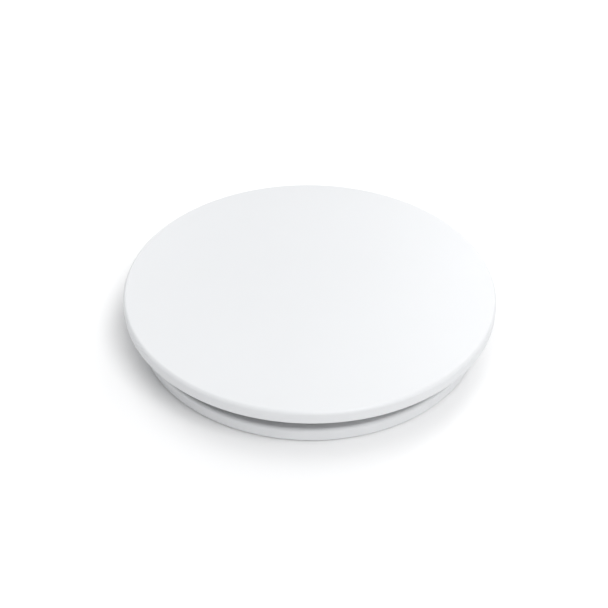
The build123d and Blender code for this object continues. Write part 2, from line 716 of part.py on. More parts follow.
# -------------------------------------------------------------------- output
def nodes():
    """Every sub-part by its node name."""
    seat_z = OUTLET_Z - SEAT_DEPTH
    parts = {
        "cover_plate": cover_plate(),
        "retainer_flange": retainer_flange(),
        "retainer_skirt": retainer_skirt(),
        "ceiling_gasket": ceiling_gasket(),
        "support_cup": support_cup(),
        "cup_lock_ring": cup_lock_ring(),
        "sprinkler_body": sprinkler_body(),
        "seal_film": seal_cone(seat_z, FILM_SHEET),
        "seal_washer": seal_cone(seat_z + FILM_SHEET, WASHER_SHEET),
        "outlet_cap": outlet_cap(),
        "cap_ejector": cap_ejector(),
        "glass_bulb": glass_bulb(),
        "bulb_liquid": bulb_liquid(),
        "compression_screw": compression_screw(),
        "guide_pin_housing": guide_pin_housing(),
        "guide_pin_1": guide_pin(1),
        "guide_pin_2": guide_pin(-1),
        "deflector": deflector(),
    }
    for number, angle in enumerate(around(TAB_COUNT, TAB_FIRST_ANGLE), 1):
        parts[f"solder_tab_{number}"] = solder_tab(angle)
        parts[f"solder_joint_{number}"] = solder_joint(angle)
    for number, angle in enumerate(around(TAB_COUNT, SPRING_FIRST_ANGLE), 1):
        parts[f"ejection_spring_{number}"] = ejection_spring(angle)
    return parts


os.makedirs("parts", exist_ok=True)
for node, shape in nodes().items():
    export_step(shape, f"parts/{node}.step")
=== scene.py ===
import json
import math
import random

import bmesh
import bpy
from mathutils import Matrix, Vector, noise


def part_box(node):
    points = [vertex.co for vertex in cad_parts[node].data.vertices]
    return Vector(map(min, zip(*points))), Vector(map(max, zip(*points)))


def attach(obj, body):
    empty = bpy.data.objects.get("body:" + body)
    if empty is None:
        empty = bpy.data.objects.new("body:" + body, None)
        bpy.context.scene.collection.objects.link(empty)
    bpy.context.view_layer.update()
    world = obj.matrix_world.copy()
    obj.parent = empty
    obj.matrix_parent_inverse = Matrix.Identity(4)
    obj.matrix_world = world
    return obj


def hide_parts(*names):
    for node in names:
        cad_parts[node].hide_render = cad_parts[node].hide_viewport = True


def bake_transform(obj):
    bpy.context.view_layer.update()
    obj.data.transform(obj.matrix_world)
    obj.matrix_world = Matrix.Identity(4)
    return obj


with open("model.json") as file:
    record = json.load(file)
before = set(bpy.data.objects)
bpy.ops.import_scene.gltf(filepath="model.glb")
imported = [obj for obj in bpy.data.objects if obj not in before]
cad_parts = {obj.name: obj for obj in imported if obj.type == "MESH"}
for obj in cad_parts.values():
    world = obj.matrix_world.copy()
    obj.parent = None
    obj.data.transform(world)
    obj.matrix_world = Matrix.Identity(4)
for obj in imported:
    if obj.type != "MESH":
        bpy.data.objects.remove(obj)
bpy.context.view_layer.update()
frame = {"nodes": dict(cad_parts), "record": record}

MM = 0.001
FULL_TURN = 2 * math.pi
SEGMENTS = 288

# ---------------------------------------------------------------- the frame
NODES = frame["nodes"]
RECORD = frame["record"]
BODY_OF = {node: body for body, nodes in RECORD["behaviour"]["bodies"].items() for node in nodes}
SLOT_OF = {part["node"]: part["material_slot"] for part in RECORD["subparts"]}
COVER_LOW, COVER_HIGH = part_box("cover_plate")
FLANGE_LOW, FLANGE_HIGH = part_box("retainer_flange")
GASKET_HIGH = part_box("ceiling_gasket")[1]
CUP_LOW, CUP_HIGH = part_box("support_cup")
BODY_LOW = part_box("sprinkler_body")[0]
BULB_LOW, BULB_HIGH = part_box("glass_bulb")
LIQUID_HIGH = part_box("bulb_liquid")[1]

# ------------------------------------------- cover plate and retainer flange
COVER_SHEET = 0.9 * MM
COVER_EDGE = 0.8 * MM
COVER_LIP = 0.2 * MM
COVER_INSIDE = 0.3 * MM
FLANGE_SHEET = 0.8 * MM
FLANGE_EDGE = 0.7 * MM
FLANGE_FOOT = 0.2 * MM
FLANGE_BORE = 27.92 * MM
SHEET_STEP = 3 * MM

# -------------------------------------------------------------- foam gasket
GASKET_BORE = 29.4 * MM
GASKET_WAVE = 0.12 * MM
GASKET_WAVE_SCALE = 30
GASKET_RIPPLE = 0.5
GASKET_RIPPLE_SCALE = 3.1
GASKET_ROUND = 0.5 * MM
GASKET_STEP = 1.2 * MM
FLANGE_RIM_GAP = 0.06 * MM

# ---------------------------------------------------------------- the cup
CUP_INNER = 28.2 * MM
CUP_SHEET = 0.8 * MM
CUP_HOLE = 11.05 * MM
CUP_CORNER = 2.3 * MM
CUP_THREAD_LOW = -25.4 * MM
CUP_STEP = 0.26 * MM
BEAD_START = -22.775 * MM
BEAD_TURNS = 5.6
BEAD_PITCH = 3.175 * MM
BEAD_HEIGHT = 0.74 * MM
BEAD_FADE = 0.12
BEAD_FULLNESS = 1.25
CUP_SEGMENTS = 216
WINDOW_COUNT = 6
WINDOW_HEIGHT_AT = -30.5 * MM
WINDOW_LENGTH = 12 * MM
WINDOW_WIDTH = 5 * MM
VENT_CIRCLE = 20 * MM
VENT_RADIUS = 2.6 * MM
WINDOW_PUNCH = 8 * MM
VENT_PUNCH = 6 * MM
OUTWARD = Matrix(((0, 0, 1, 0), (1, 0, 0, 0), (0, 1, 0, 0), (0, 0, 0, 1)))

# --------------------------------------------------------- tapered pipe thread
PIPE_PITCH = 1.814 * MM
PIPE_DEPTH = 1.1 * MM
PIPE_LARGE = 10.67 * MM
PIPE_TAPER = 1 / 32
PIPE_LENGTH = 13.6 * MM
PIPE_FLAT = 0.14
PIPE_CHAMFER = 9.5 * MM
PIPE_ROWS = 16
PIPE_COLUMNS = 120
PIPE_RUN_OUT = 1.2
NECK_RADIUS = 9.1 * MM
NECK_CUT_Z = -42.5 * MM
NECK_GAP = 0.1 * MM
RIM_REACH = 0.5 * MM
RIM_BAND = 0.3 * MM
BORE_RADIUS = 5.55 * MM
BORE_MOUTH = 1.7 * MM

# ------------------------------------------------------------------ small parts
WELD = 0.002 * MM
FLAT = math.radians(0.3)
SHARP = math.radians(32)
BODY_EDGE = 0.12 * MM
BODY_SOFT = math.radians(36)
BODY_SHARP = math.radians(38)
CUP_SOFT = math.radians(40)
FOAM_SOFT = math.radians(50)
ROUND = math.radians(60)
BULB_SIDES = 64
BULB_WALL = 0.3 * MM
BULB_SHOULDER = 2.2 * MM
BULB_WAIST = 0.03 * MM
BULB_PIP = 0.75 * MM
BULB_PIP_TIP = 0.4 * MM
BULB_PIP_NECK = 0.82
BULB_PIP_NECK_AT = 0.3
BARREL_STEPS = 12
LIQUID_GAP = 0.02 * MM
# share of the liquid's radius, and depth below its rim
MENISCUS = ((1, 0.25 * MM), (1, 0), (0.75, 0.22 * MM), (0.4, 0.36 * MM), (0, 0.4 * MM))
SOLDER_HALF_LENGTH = 1.8 * MM
SOLDER_HALF_WIDTH = 2.9 * MM
SOLDER_SPREAD = 0.35 * MM
SOLDER_SIDES = 72
SOLDER_SQUARENESS = 0.55
SOLDER_SEED = 40
SOLDER_WAVES = 4
SOLDER_LOBES = (2, 7)
SOLDER_WOBBLE = 0.3
# share of the joint's height, and share of the spread there
SOLDER_LEVELS = ((0.0, 0.75), (0.18, 0.35), (0.5, 0.12), (0.82, 0.35), (1.0, 1.0))
BUSH_EASE = 0.05 * MM
LEAF_EDGE = 0.05 * MM
LEAF_STEPS = 14
LEAF_HOLD_Z = -1.2 * MM
LEAF_FREE_Z = 3.4 * MM
CEILING_HOLE = 31.75 * MM
CEILING_RINGS = (CEILING_HOLE, 0.05, 0.1, 0.3, 1.0, 4.0)
CEILING_SIDES = 96
CEILING_Z = -0.03 * MM

# ------------------------------------------------------------------- colours
PAINT = (0.705, 0.713, 0.723)
# The flange's white is a lighter copy of the cover's paint: painted light that lifts the shade the flange
# sits in.
FLANGE_PAINT_WITH_PAINTED_LIGHT = (0.785, 0.793, 0.804)
PRIMER = (0.470, 0.475, 0.490)
BODY_BRASS = (0.87, 0.69, 0.38)
HOUSING_BRASS = (0.84, 0.66, 0.37)
CAP_BRASS = (0.88, 0.72, 0.43)
SCREW_BRASS = (0.88, 0.74, 0.47)
SKIRT_BRASS = (0.84, 0.71, 0.46)
DEFLECTOR_BRASS = (0.82, 0.60, 0.34)
TAB_BRONZE = (0.80, 0.53, 0.32)
SPRING_BRONZE = (0.76, 0.49, 0.28)
EJECTOR_STEEL = (0.76, 0.76, 0.77)
RING_STEEL = (0.34, 0.34, 0.36)
PIN_STEEL = (0.80, 0.80, 0.81)
NICKEL = (0.76, 0.74, 0.70)
ZINC = ((0.56, 0.58, 0.62), (0.70, 0.72, 0.74), (0.80, 0.80, 0.79))
# The first foam colour is painted shade in the bubble pits, the second the foam's own grey.
FOAM_AND_PIT_SHADE = ((0.20, 0.205, 0.215), (0.40, 0.41, 0.42))
FILM = ((0.84, 0.84, 0.82), (0.93, 0.93, 0.92))
LIQUID = ((0.66, 0.008, 0.014), (0.84, 0.02, 0.03))
SOLDER_FROST = ((0.40, 0.41, 0.43), (0.68, 0.69, 0.70))
SOLDER_GRAIN = ((0.46, 0.47, 0.49), (0.62, 0.63, 0.64))
GLASS = (0.96, 0.98, 0.98, 1)
CEILING_WHITE = (0.93, 0.93, 0.93, 1)
UPRIGHT_GRAIN = (5, 5, 0.4)
FLAT_GRAIN = (0.5, 5, 5)
DRAWN_GRAIN = (5, 5, 0.3)

# nearly all of a noise texture's values lie between these two
NOISE_LOW = 0.3
NOISE_HIGH = 0.7

# ----------------------------------------------------------- light and camera
# name, azimuth and elevation in degrees, distance and size in metres, power in watts
LAMPS = (
    ("key", -60, 52, 0.5, 0.3, 1.14),
    ("side", 60, 34, 0.5, 0.3, 0.70),
    ("back", 120, 25, 0.5, 0.3, 0.30),
    ("top", 0, 90, 0.9, 1, 2.75),
)
WORLD_STRENGTH = 0.47
WORLD_COLOUR = (0.975, 0.985, 1.0, 1)
CAMERA_ELEVATION = math.radians(38.62)
CAMERA_ROLL = math.radians(0.41)
# the next three are in units of the cover plate's radius
CAMERA_DISTANCE = 5.566
CAMERA_ACROSS = 0.0305
CAMERA_UP = -0.0876
CAMERA_LENS = 59.2
CAMERA_SENSOR = 36
CAMERA_NEAR = 0.005


# ----------------------------------------------------------------- mesh work
def link(name, mesh):
    """A new object in the scene."""
    piece = bpy.data.objects.new(name, mesh)
    bpy.context.scene.collection.objects.link(piece)
    return piece


def to_piece(name, work):
    """Turns finished mesh work into an object."""
    mesh = bpy.data.meshes.new(name)
    work.to_mesh(mesh)
    work.free()
    return link(name, mesh)


def smooth(piece, angle=SHARP):
    """Smooth shading that keeps sharp edges and flat faces flat."""
    mesh = piece.data
    mesh.polygons.foreach_set("use_smooth", [True] * len(mesh.polygons))
    work = bmesh.new()
    work.from_mesh(mesh)
    for edge in work.edges:
        edge.smooth = len(edge.link_faces) == 2 and edge.calc_face_angle(0) < angle
    work.to_mesh(mesh)
    work.free()
    weighted = piece.modifiers.new("weighted", "WEIGHTED_NORMAL")
    weighted.keep_sharp = True
    apply_modifiers(piece)
    return piece


def apply_modifiers(piece):
    """Replaces the piece's mesh with what its modifiers make of it."""
    bpy.context.view_layer.update()
    shaped = piece.evaluated_get(bpy.context.evaluated_depsgraph_get())
    mesh = bpy.data.meshes.new_from_object(shaped)
    piece.modifiers.clear()
    piece.data = mesh


def cut_out(piece, cutter):
    """Cuts one mesh out of another."""
    cut = piece.modifiers.new("cut", "BOOLEAN")
    cut.object = cutter
    cut.operation = "DIFFERENCE"
    cut.solver = "EXACT"
    apply_modifiers(piece)
    bpy.data.objects.remove(cutter)


def arc(centre, radius, start, end, steps=6):
    """Points of an arc in radius and height, angles in degrees."""
    points = []
    for number in range(steps + 1):
        angle = math.radians(start + (end - start) * number / steps)
        points.append((centre[0] + radius * math.cos(angle), centre[1] + radius * math.sin(angle)))
    return points


def dense_line(start, end, step):
    """Points between two ends of a straight side, without the ends."""
    parts = math.ceil(math.dist(start, end) / step)
    across, rise = end[0] - start[0], end[1] - start[1]
    return [(start[0] + across * n / parts, start[1] + rise * n / parts) for n in range(1, parts)]


def dense(points, longest):
    """The closed outline with long sides cut into shorter ones."""
    result = []
    for here, there in zip(points, points[1:] + points[:1]):
        result.append(here)
        result += dense_line(here, there, longest)
    return result


def turned_ring(work, radius, height, sides, shape=None):
    """A ring of points about the axis, or one point on it. shape moves a point."""
    if radius < WELD:
        return [work.verts.new((0, 0, height))]
    ring = []
    for number in range(sides):
        angle = FULL_TURN * number / sides
        r, z = shape(radius, height, angle) if shape else (radius, height)
        ring.append(work.verts.new((r * math.cos(angle), r * math.sin(angle), z)))
    return ring


def lathe(name, outline, segments=SEGMENTS, shape=None):
    """A turned mesh from a closed outline in radius and height. shape moves a point."""
    work = bmesh.new()
    rings = [turned_ring(work, radius, height, segments, shape) for radius, height in outline]
    for low, high in zip(rings, rings[1:] + rings[:1]):
        join_rings(work, low, high, segments)
    bmesh.ops.recalc_face_normals(work, faces=work.faces)
    return to_piece(name, work)


def join_rings(work, low, high, segments):
    """Faces between two rings, either of which may be a single point."""
    if len(low) == 1 and len(high) == 1:
        return
    for number in range(segments):
        after = (number + 1) % segments
        if len(low) == 1:
            work.faces.new((low[0], high[after], high[number]))
        elif len(high) == 1:
            work.faces.new((low[number], low[after], high[0]))
        else:
            work.faces.new((low[number], low[after], high[after], high[number]))


def welded(node):
    """A CAD node's shape as one closed mesh, with its flat faces whole."""
    work = bmesh.new()
    work.from_mesh(NODES[node].data)
    bmesh.ops.remove_doubles(work, verts=work.verts, dist=WELD)
    bmesh.ops.dissolve_limit(work, angle_limit=FLAT, verts=work.verts, edges=work.edges)
    return work


def break_edges(work, width, angle=SHARP, rounds=2):
    """Breaks the sharp edges, as a deburred part has them."""
    sharp = [e for e in work.edges if len(e.link_faces) == 2 and e.calc_face_angle(0) > angle]
    bmesh.ops.bevel(
        work, geom=sharp, offset=width, segments=rounds, profile=0.6, affect="EDGES", clamp_overlap=True
    )


def paint(piece, slot):
    """Gives a piece or a CAD node the material of a slot."""
    piece.data.materials.clear()
    piece.data.materials.append(MATERIALS[slot])


def stand_for(piece, node):
    """Shows a piece in place of its node, in its node's finish."""
    paint(piece, SLOT_OF[node])
    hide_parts(node)


def dress(piece, node):
    """Puts a finished piece on its node's body, in its node's finish, in its place."""
    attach(piece, BODY_OF[node])
    stand_for(piece, node)
    return piece


def refined(name, node, width):
    """A piece with a CAD node's shape and broken edges, in the node's place."""
    work = welded(node)
    break_edges(work, width)
    return dress(smooth(to_piece(name, work)), node)


# ----------------------------------------------------------------- materials
class Graph:
    """Short hand for a material's nodes. Texture scales are in cycles per metre."""

    def __init__(self, name):
        self.material = bpy.data.materials.new(name)
        self.material.use_nodes = True
        self.tree = self.material.node_tree
        self.shader = self.tree.nodes["Principled BSDF"]
        self.place = self.add("ShaderNodeTexCoord").outputs["Object"]

    def add(self, kind, **values):
        node = self.tree.nodes.new(kind)
        for key, value in values.items():
            setattr(node, key, value)
        return node

    def join(self, output, target):
        self.tree.links.new(output, target)

    def base(self, **values):
        for key, value in values.items():
            self.shader.inputs[key.replace("_", " ")].default_value = value

    def maths(self, operation, first, second=None):
        node = self.add("ShaderNodeMath", operation=operation)
        for number, value in enumerate((first, second)):
            if value is None:
                continue
            if isinstance(value, (int, float)):
                node.inputs[number].default_value = value
            else:
                self.join(value, node.inputs[number])
        return node.outputs[0]

    def noise(self, scale, detail=2.0, roughness=0.5, place=None):
        node = self.add("ShaderNodeTexNoise")
        node.inputs["Scale"].default_value = scale
        node.inputs["Detail"].default_value = detail
        node.inputs["Roughness"].default_value = roughness
        self.join(place or self.place, node.inputs["Vector"])
        return node.outputs["Fac"]

    def stretched(self, scale):
        mapping = self.add("ShaderNodeMapping")
        mapping.inputs["Scale"].default_value = scale
        self.join(self.place, mapping.inputs["Vector"])
        return mapping.outputs["Vector"]

    def polar(self):
        """Radius from the axis, and height."""
        parts = self.add("ShaderNodeSeparateXYZ")
        self.join(self.place, parts.inputs[0])
        x, y, z = parts.outputs
        square = self.maths("ADD", self.maths("MULTIPLY", x, x), self.maths("MULTIPLY", y, y))
        return self.maths("SQRT", square), z

    def turned_place(self):
        """Radius and height only, so that a texture runs round the axis like tool marks."""
        radius, height = self.polar()
        both = self.add("ShaderNodeCombineXYZ")
        self.join(radius, both.inputs[0])
        self.join(height, both.inputs[1])
        return both.outputs[0]

    def cells(self, scale, feature="F1"):
        node = self.add("ShaderNodeTexVoronoi", feature=feature)
        node.inputs["Scale"].default_value = scale
        self.join(self.place, node.inputs["Vector"])
        return node

    def ramp(self, value, *stops):
        node = self.add("ShaderNodeValToRGB")
        ends = node.color_ramp.elements
        while len(ends) < len(stops):
            ends.new(0.5)
        for end, (position, colour) in zip(ends, stops):
            end.position = position
            end.color = (*colour, 1)
        self.join(value, node.inputs["Fac"])
        return node.outputs["Color"]

    def blend(self, share, first, second):
        node = self.add("ShaderNodeMix", data_type="RGBA")
        self.join(share, node.inputs["Factor"])
        self.join(first, node.inputs["A"])
        self.join(second, node.inputs["B"])
        return node.outputs["Result"]

    def span(self, value, low, high, start=0.0, end=1.0):
        node = self.add("ShaderNodeMapRange")
        node.inputs["From Min"].default_value = start
        node.inputs["From Max"].default_value = end
        node.inputs["To Min"].default_value = low
        node.inputs["To Max"].default_value = high
        self.join(value, node.inputs["Value"])
        return node.outputs["Result"]

    def bump(self, value, depth, strength=1.0, under=None):
        node = self.add("ShaderNodeBump")
        node.inputs["Strength"].default_value = strength
        node.inputs["Distance"].default_value = depth
        self.join(value, node.inputs["Height"])
        if under:
            self.join(under, node.inputs["Normal"])
        return node.outputs["Normal"]

    def finish(self, colour=None, roughness=None, normal=None):
        for value, name in ((colour, "Base Color"), (roughness, "Roughness"), (normal, "Normal")):
            if value:
                self.join(value, self.shader.inputs[name])
        return self.material


def tinted(colour, factor):
    """The same colour, lighter or darker."""
    return tuple(min(1.0, factor * part) for part in colour)


def sprayed_paint(name, tint, inside=None):
    """Sprayed satin paint on pressed sheet: faint orange peel and a slow drift in tone.
    inside is the radius and height of the sheet's hidden side, which has primer only."""
    g = Graph(name)
    g.base(Metallic=0.0, IOR=1.5, Coat_Weight=0.08, Coat_Roughness=0.3)
    colour = g.ramp(g.noise(45, 3), (NOISE_LOW, tinted(tint, 0.988)), (NOISE_HIGH, tint))
    if inside:
        radius, height = inside
        across, up = g.polar()
        near = g.maths("LESS_THAN", across, radius)
        low = g.maths("LESS_THAN", up, height)
        primer = g.ramp(g.noise(200, 4), (NOISE_LOW, tinted(PRIMER, 0.9)), (NOISE_HIGH, PRIMER))
        colour = g.blend(g.maths("MULTIPLY", near, low), colour, primer)
    roughness = g.span(g.noise(350, 3), 0.38, 0.47, NOISE_LOW, NOISE_HIGH)
    peel = g.bump(g.noise(1300, 2, 0.4), 0.012 * MM, 0.3)
    fine = g.bump(g.noise(5200, 1), 0.002 * MM, 0.25, peel)
    return g.finish(colour, roughness, fine)


def ceiling_white():
    """Plain matt white surface, seen only from the room's side."""
    material = bpy.data.materials.new("ceiling_white")
    material.use_nodes = True
    tree = material.node_tree
    shader = tree.nodes["Principled BSDF"]
    shader.inputs["Base Color"].default_value = CEILING_WHITE
    shader.inputs["Roughness"].default_value = 0.9
    clear = tree.nodes.new("ShaderNodeBsdfTransparent")
    side = tree.nodes.new("ShaderNodeNewGeometry")
    mix = tree.nodes.new("ShaderNodeMixShader")
    tree.links.new(side.outputs["Backfacing"], mix.inputs["Fac"])
    tree.links.new(shader.outputs["BSDF"], mix.inputs[1])
    tree.links.new(clear.outputs["BSDF"], mix.inputs[2])
    tree.links.new(mix.outputs["Shader"], tree.nodes["Material Output"].inputs["Surface"])
    return material


def turned_metal(name, light, rough=(0.2, 0.34), tarnish=0.72, marks=1.0):
    """Metal from a lathe: fine rings of tool marks, with tarnish in patches."""
    g = Graph(name)
    g.base(Metallic=1.0)
    bright = g.ramp(g.noise(160, 5, 0.62), (0.35, tinted(light, 0.9)), (0.62, light))
    dark, pale = tinted(light, tarnish * 0.86), tinted(light, tarnish)
    dull = g.ramp(g.noise(700, 4, 0.6), (NOISE_LOW, dark), (NOISE_HIGH, pale))
    patches = g.span(g.noise(95, 6, 0.65), 0.0, 1.0, 0.5, 0.66)
    rings = g.noise(2600, 2, 0.6, g.turned_place())
    roughness = g.span(g.noise(420, 5, 0.6), *rough, NOISE_LOW, NOISE_HIGH)
    normal = g.bump(rings, 0.01 * MM * marks, 0.55)
    return g.finish(g.blend(patches, bright, dull), roughness, normal)


def cast_metal(name, light):
    """Forged brass: soft skin with fine grain, darker where oxide stays."""
    g = Graph(name)
    g.base(Metallic=1.0)
    bright = g.ramp(g.noise(140, 5, 0.6), (0.32, tinted(light, 0.84)), (0.64, light))
    oxide = g.ramp(g.noise(400, 4, 0.6), (0.35, tinted(light, 0.62)), (0.65, tinted(light, 0.8)))
    patches = g.span(g.noise(90, 5, 0.6), 0.0, 1.0, 0.52, 0.75)
    roughness = g.span(g.noise(600, 5, 0.6), 0.26, 0.46, NOISE_LOW, NOISE_HIGH)
    skin = g.bump(g.noise(1500, 4, 0.6), 0.03 * MM, 0.45)
    rings = g.bump(g.noise(2400, 2, 0.5, g.turned_place()), 0.008 * MM, 0.35, skin)
    return g.finish(g.blend(patches, bright, oxide), roughness, rings)


def rolled_strip(name, light, grain, rough=(0.2, 0.36)):
    """Strip or stamped sheet: rolling lines along one way, rubbed patches."""
    g = Graph(name)
    g.base(Metallic=1.0)
    dark, middle = tinted(light, 0.84), tinted(light, 0.95)
    colour = g.ramp(g.noise(120, 4, 0.5), (NOISE_LOW, dark), (0.5, middle), (NOISE_HIGH, light))
    lines = g.noise(900, 3, 0.6, g.stretched(grain))
    roughness = g.span(g.noise(600, 4, 0.6), *rough, NOISE_LOW, NOISE_HIGH)
    return g.finish(colour, roughness, g.bump(lines, 0.014 * MM, 0.5))


def zinc_plate(name):
    """Bright zinc on drawn steel: bluish grey, cloudy, with drawing lines up the wall."""
    g = Graph(name)
    g.base(Metallic=1.0)
    colour = g.ramp(g.noise(70, 6, 0.65), (NOISE_LOW, ZINC[0]), (0.5, ZINC[1]), (0.68, ZINC[2]))
    roughness = g.span(g.noise(260, 5, 0.6), 0.22, 0.4, NOISE_LOW, NOISE_HIGH)
    lines = g.bump(g.noise(800, 3, 0.6, g.stretched(DRAWN_GRAIN)), 0.01 * MM, 0.4)
    grain = g.bump(g.noise(3200, 2), 0.006 * MM, 0.35, lines)
    return g.finish(colour, roughness, grain)


def foam():
    """Closed-cell grey foam: small open bubble pits in a matt skin, with painted shade darkening each pit.
    """
    g = Graph("gasket_foam")
    g.base(Roughness=0.96, Specular_IOR_Level=0.2)
    pit_depth_and_shade = g.cells(2400).outputs["Distance"]
    # painted shade: darker towards each cell's centre, where the bump sinks a pit
    colour = g.ramp(pit_depth_and_shade, (0.08, FOAM_AND_PIT_SHADE[0]), (0.55, FOAM_AND_PIT_SHADE[1]))
    coarse = g.bump(g.noise(350, 3), 0.12 * MM, 0.5)
    return g.finish(colour, None, g.bump(pit_depth_and_shade, 0.09 * MM, 0.8, coarse))


def film():
    """White fluoropolymer film with faint skive lines."""
    g = Graph("seal_ptfe")
    g.base(Roughness=0.38)
    colour = g.ramp(g.noise(500), (NOISE_LOW, FILM[0]), (NOISE_HIGH, FILM[1]))
    return g.finish(colour, None, g.bump(g.noise(2500, 2, 0.5, g.turned_place()), 0.01 * MM, 0.4))


def glass():
    """Clear fire-polished glass."""
    g = Graph("bulb_glass")
    g.base(Transmission_Weight=1.0, IOR=1.47, Base_Color=GLASS)
    roughness = g.span(g.noise(300, 2), 0.0, 0.03)
    return g.finish(None, roughness, g.bump(g.noise(420, 1), 0.012 * MM, 0.2))


def red_liquid():
    """Red-dyed liquid in the bulb."""
    g = Graph("bulb_red_liquid")
    g.base(Transmission_Weight=0.5, IOR=1.4, Roughness=0.04)
    colour = g.ramp(g.noise(120, 2), (NOISE_LOW, LIQUID[0]), (NOISE_HIGH, LIQUID[1]))
    return g.finish(colour)


def solder():
    """Dull fusible alloy with a frozen, slightly puddled surface."""
    g = Graph("solder_alloy")
    g.base(Metallic=0.9)
    grains = g.cells(1600).outputs["Color"]
    frost = g.ramp(g.noise(900, 5, 0.7), (NOISE_LOW, SOLDER_FROST[0]), (NOISE_HIGH, SOLDER_FROST[1]))
    tone = g.ramp(grains, (0.0, SOLDER_GRAIN[0]), (1.0, SOLDER_GRAIN[1]))
    roughness = g.span(g.noise(1400, 3), 0.34, 0.6, NOISE_LOW, NOISE_HIGH)
    colour = g.blend(g.noise(60, 2), frost, tone)
    return g.finish(colour, roughness, g.bump(g.noise(700, 3), 0.04 * MM, 0.4))


COVER_BACK = (COVER_HIGH.x - COVER_SHEET / 2, COVER_HIGH.z - COVER_SHEET / 2)
MATERIALS = {
    "cover_paint": sprayed_paint("cover_paint", PAINT, COVER_BACK),
    # painted light: the flange gets a lighter copy of the cover's white
    "flange_paint": sprayed_paint("flange_paint", FLANGE_PAINT_WITH_PAINTED_LIGHT),
    "skirt_metal": rolled_strip("skirt_metal", SKIRT_BRASS, UPRIGHT_GRAIN),
    "gasket_foam": foam(),
    "cup_steel": zinc_plate("cup_steel"),
    "ring_steel": rolled_strip("ring_steel", RING_STEEL, FLAT_GRAIN, (0.3, 0.5)),
    "body_brass": cast_metal("body_brass", BODY_BRASS),
    "seal_ptfe": film(),
    "washer_nickel": turned_metal("washer_nickel", NICKEL),
    "cap_brass": turned_metal("cap_brass", CAP_BRASS),
    "ejector_steel": rolled_strip("ejector_steel", EJECTOR_STEEL, UPRIGHT_GRAIN),
    "bulb_glass": glass(),
    "bulb_red_liquid": red_liquid(),
    "screw_brass": turned_metal("screw_brass", SCREW_BRASS),
    "housing_brass": cast_metal("housing_brass", HOUSING_BRASS),
    "pin_steel": turned_metal("pin_steel", PIN_STEEL, (0.14, 0.26), tarnish=0.85, marks=0.6),
    "deflector_brass": rolled_strip("deflector_brass", DEFLECTOR_BRASS, FLAT_GRAIN, (0.22, 0.4)),
    "tab_bronze": rolled_strip("tab_bronze", TAB_BRONZE, UPRIGHT_GRAIN),
    "solder_alloy": solder(),
    "spring_bronze": rolled_strip("spring_bronze", SPRING_BRONZE, UPRIGHT_GRAIN, (0.18, 0.32)),
}


# --------------------------------------------------------- cover and flange
def cover_outline():
    """Sheet outline of the cover plate, from the axis round the rim and back."""
    radius = COVER_HIGH.x
    inner = radius - COVER_SHEET
    top = COVER_HIGH.z
    back = top - COVER_SHEET
    foot = COVER_LOW.z
    points = [(0, back)]
    points += arc((inner - COVER_INSIDE, back - COVER_INSIDE), COVER_INSIDE, 90, 0)
    points += arc((inner + COVER_LIP, foot + COVER_LIP), COVER_LIP, 180, 270)
    points += arc((radius - COVER_LIP, foot + COVER_LIP), COVER_LIP, 270, 360)
    points += arc((radius - COVER_EDGE, top - COVER_EDGE), COVER_EDGE, 0, 90, 10)
    points += [(0, top)]
    return points


def flange_outline():
    """Sheet outline of the retainer's flange, with its turned-down rim."""
    radius = FLANGE_HIGH.x
    inner = radius - FLANGE_SHEET
    top = FLANGE_HIGH.z
    back = top - FLANGE_SHEET
    foot = FLANGE_LOW.z
    points = [(FLANGE_BORE, top), (FLANGE_BORE, back)]
    points += arc((inner - FLANGE_FOOT, back - FLANGE_FOOT), FLANGE_FOOT, 90, 0)
    points += arc((inner + FLANGE_FOOT, foot + FLANGE_FOOT), FLANGE_FOOT, 180, 270)
    points += arc((radius - FLANGE_FOOT, foot + FLANGE_FOOT), FLANGE_FOOT, 270, 360)
    points += arc((radius - FLANGE_EDGE, top - FLANGE_EDGE), FLANGE_EDGE, 0, 90, 10)
    return points


def make_cover():
    """Pressed cover plate with its rounded edge and turned-down rim."""
    dress(smooth(lathe("cover_sheet", dense(cover_outline(), SHEET_STEP))), "cover_plate")


def make_flange():
    """White ring that lies on the gasket."""
    dress(smooth(lathe("flange_ring", dense(flange_outline(), SHEET_STEP))), "retainer_flange")


def make_gasket():
    """Foam ring, slightly uneven where it swells out from under the flange."""
    lip = GASKET_HIGH.x
    top = GASKET_HIGH.z
    rim = FLANGE_LOW.z
    inside = FLANGE_HIGH.x - FLANGE_SHEET - FLANGE_RIM_GAP
    points = [(GASKET_BORE, 0)]
    points += arc((lip - rim / 2, rim / 2), rim / 2, -90, 90, 6)
    points += [(inside, rim)]
    points += arc((inside - GASKET_ROUND, top - GASKET_ROUND), GASKET_ROUND, 0, 90)
    points += [(GASKET_BORE, top)]

    def uneven(radius, height, angle):
        across, along = GASKET_WAVE_SCALE * math.cos(angle), GASKET_WAVE_SCALE * math.sin(angle)
        place = Vector((across, along, height / MM))
        wave = noise.noise(place) + GASKET_RIPPLE * noise.noise(GASKET_RIPPLE_SCALE * place)
        inward = 1 if radius > GASKET_BORE + MM else -1
        return radius - inward * GASKET_WAVE * (0.5 + 0.5 * wave), height

    piece = lathe("gasket_ring", dense(points, GASKET_STEP), shape=uneven)
    dress(smooth(piece, FOAM_SOFT), "ceiling_gasket")


# ---------------------------------------------------------------- the cup
def bead_wave(height, angle):
    """Share of the rolled thread's full height at a place on the cup's wall."""
    share = angle / FULL_TURN
    turn = round((height - BEAD_START) / BEAD_PITCH - share)
    along = turn + share
    away = (height - BEAD_START) / BEAD_PITCH - along
    fade = min(1, max(0, along / BEAD_FADE)) * min(1, max(0, (BEAD_TURNS - along) / BEAD_FADE))
    return fade * (0.5 + 0.5 * math.cos(FULL_TURN * away)) ** BEAD_FULLNESS


def rolled(radius, height, angle):
    """Moves the wall of the cup out along the thread."""
    if radius < CUP_INNER - WELD or height < CUP_THREAD_LOW or height > CUP_HIGH.z - WELD:
        return radius, height
    return radius + BEAD_HEIGHT * bead_wave(height, angle), height


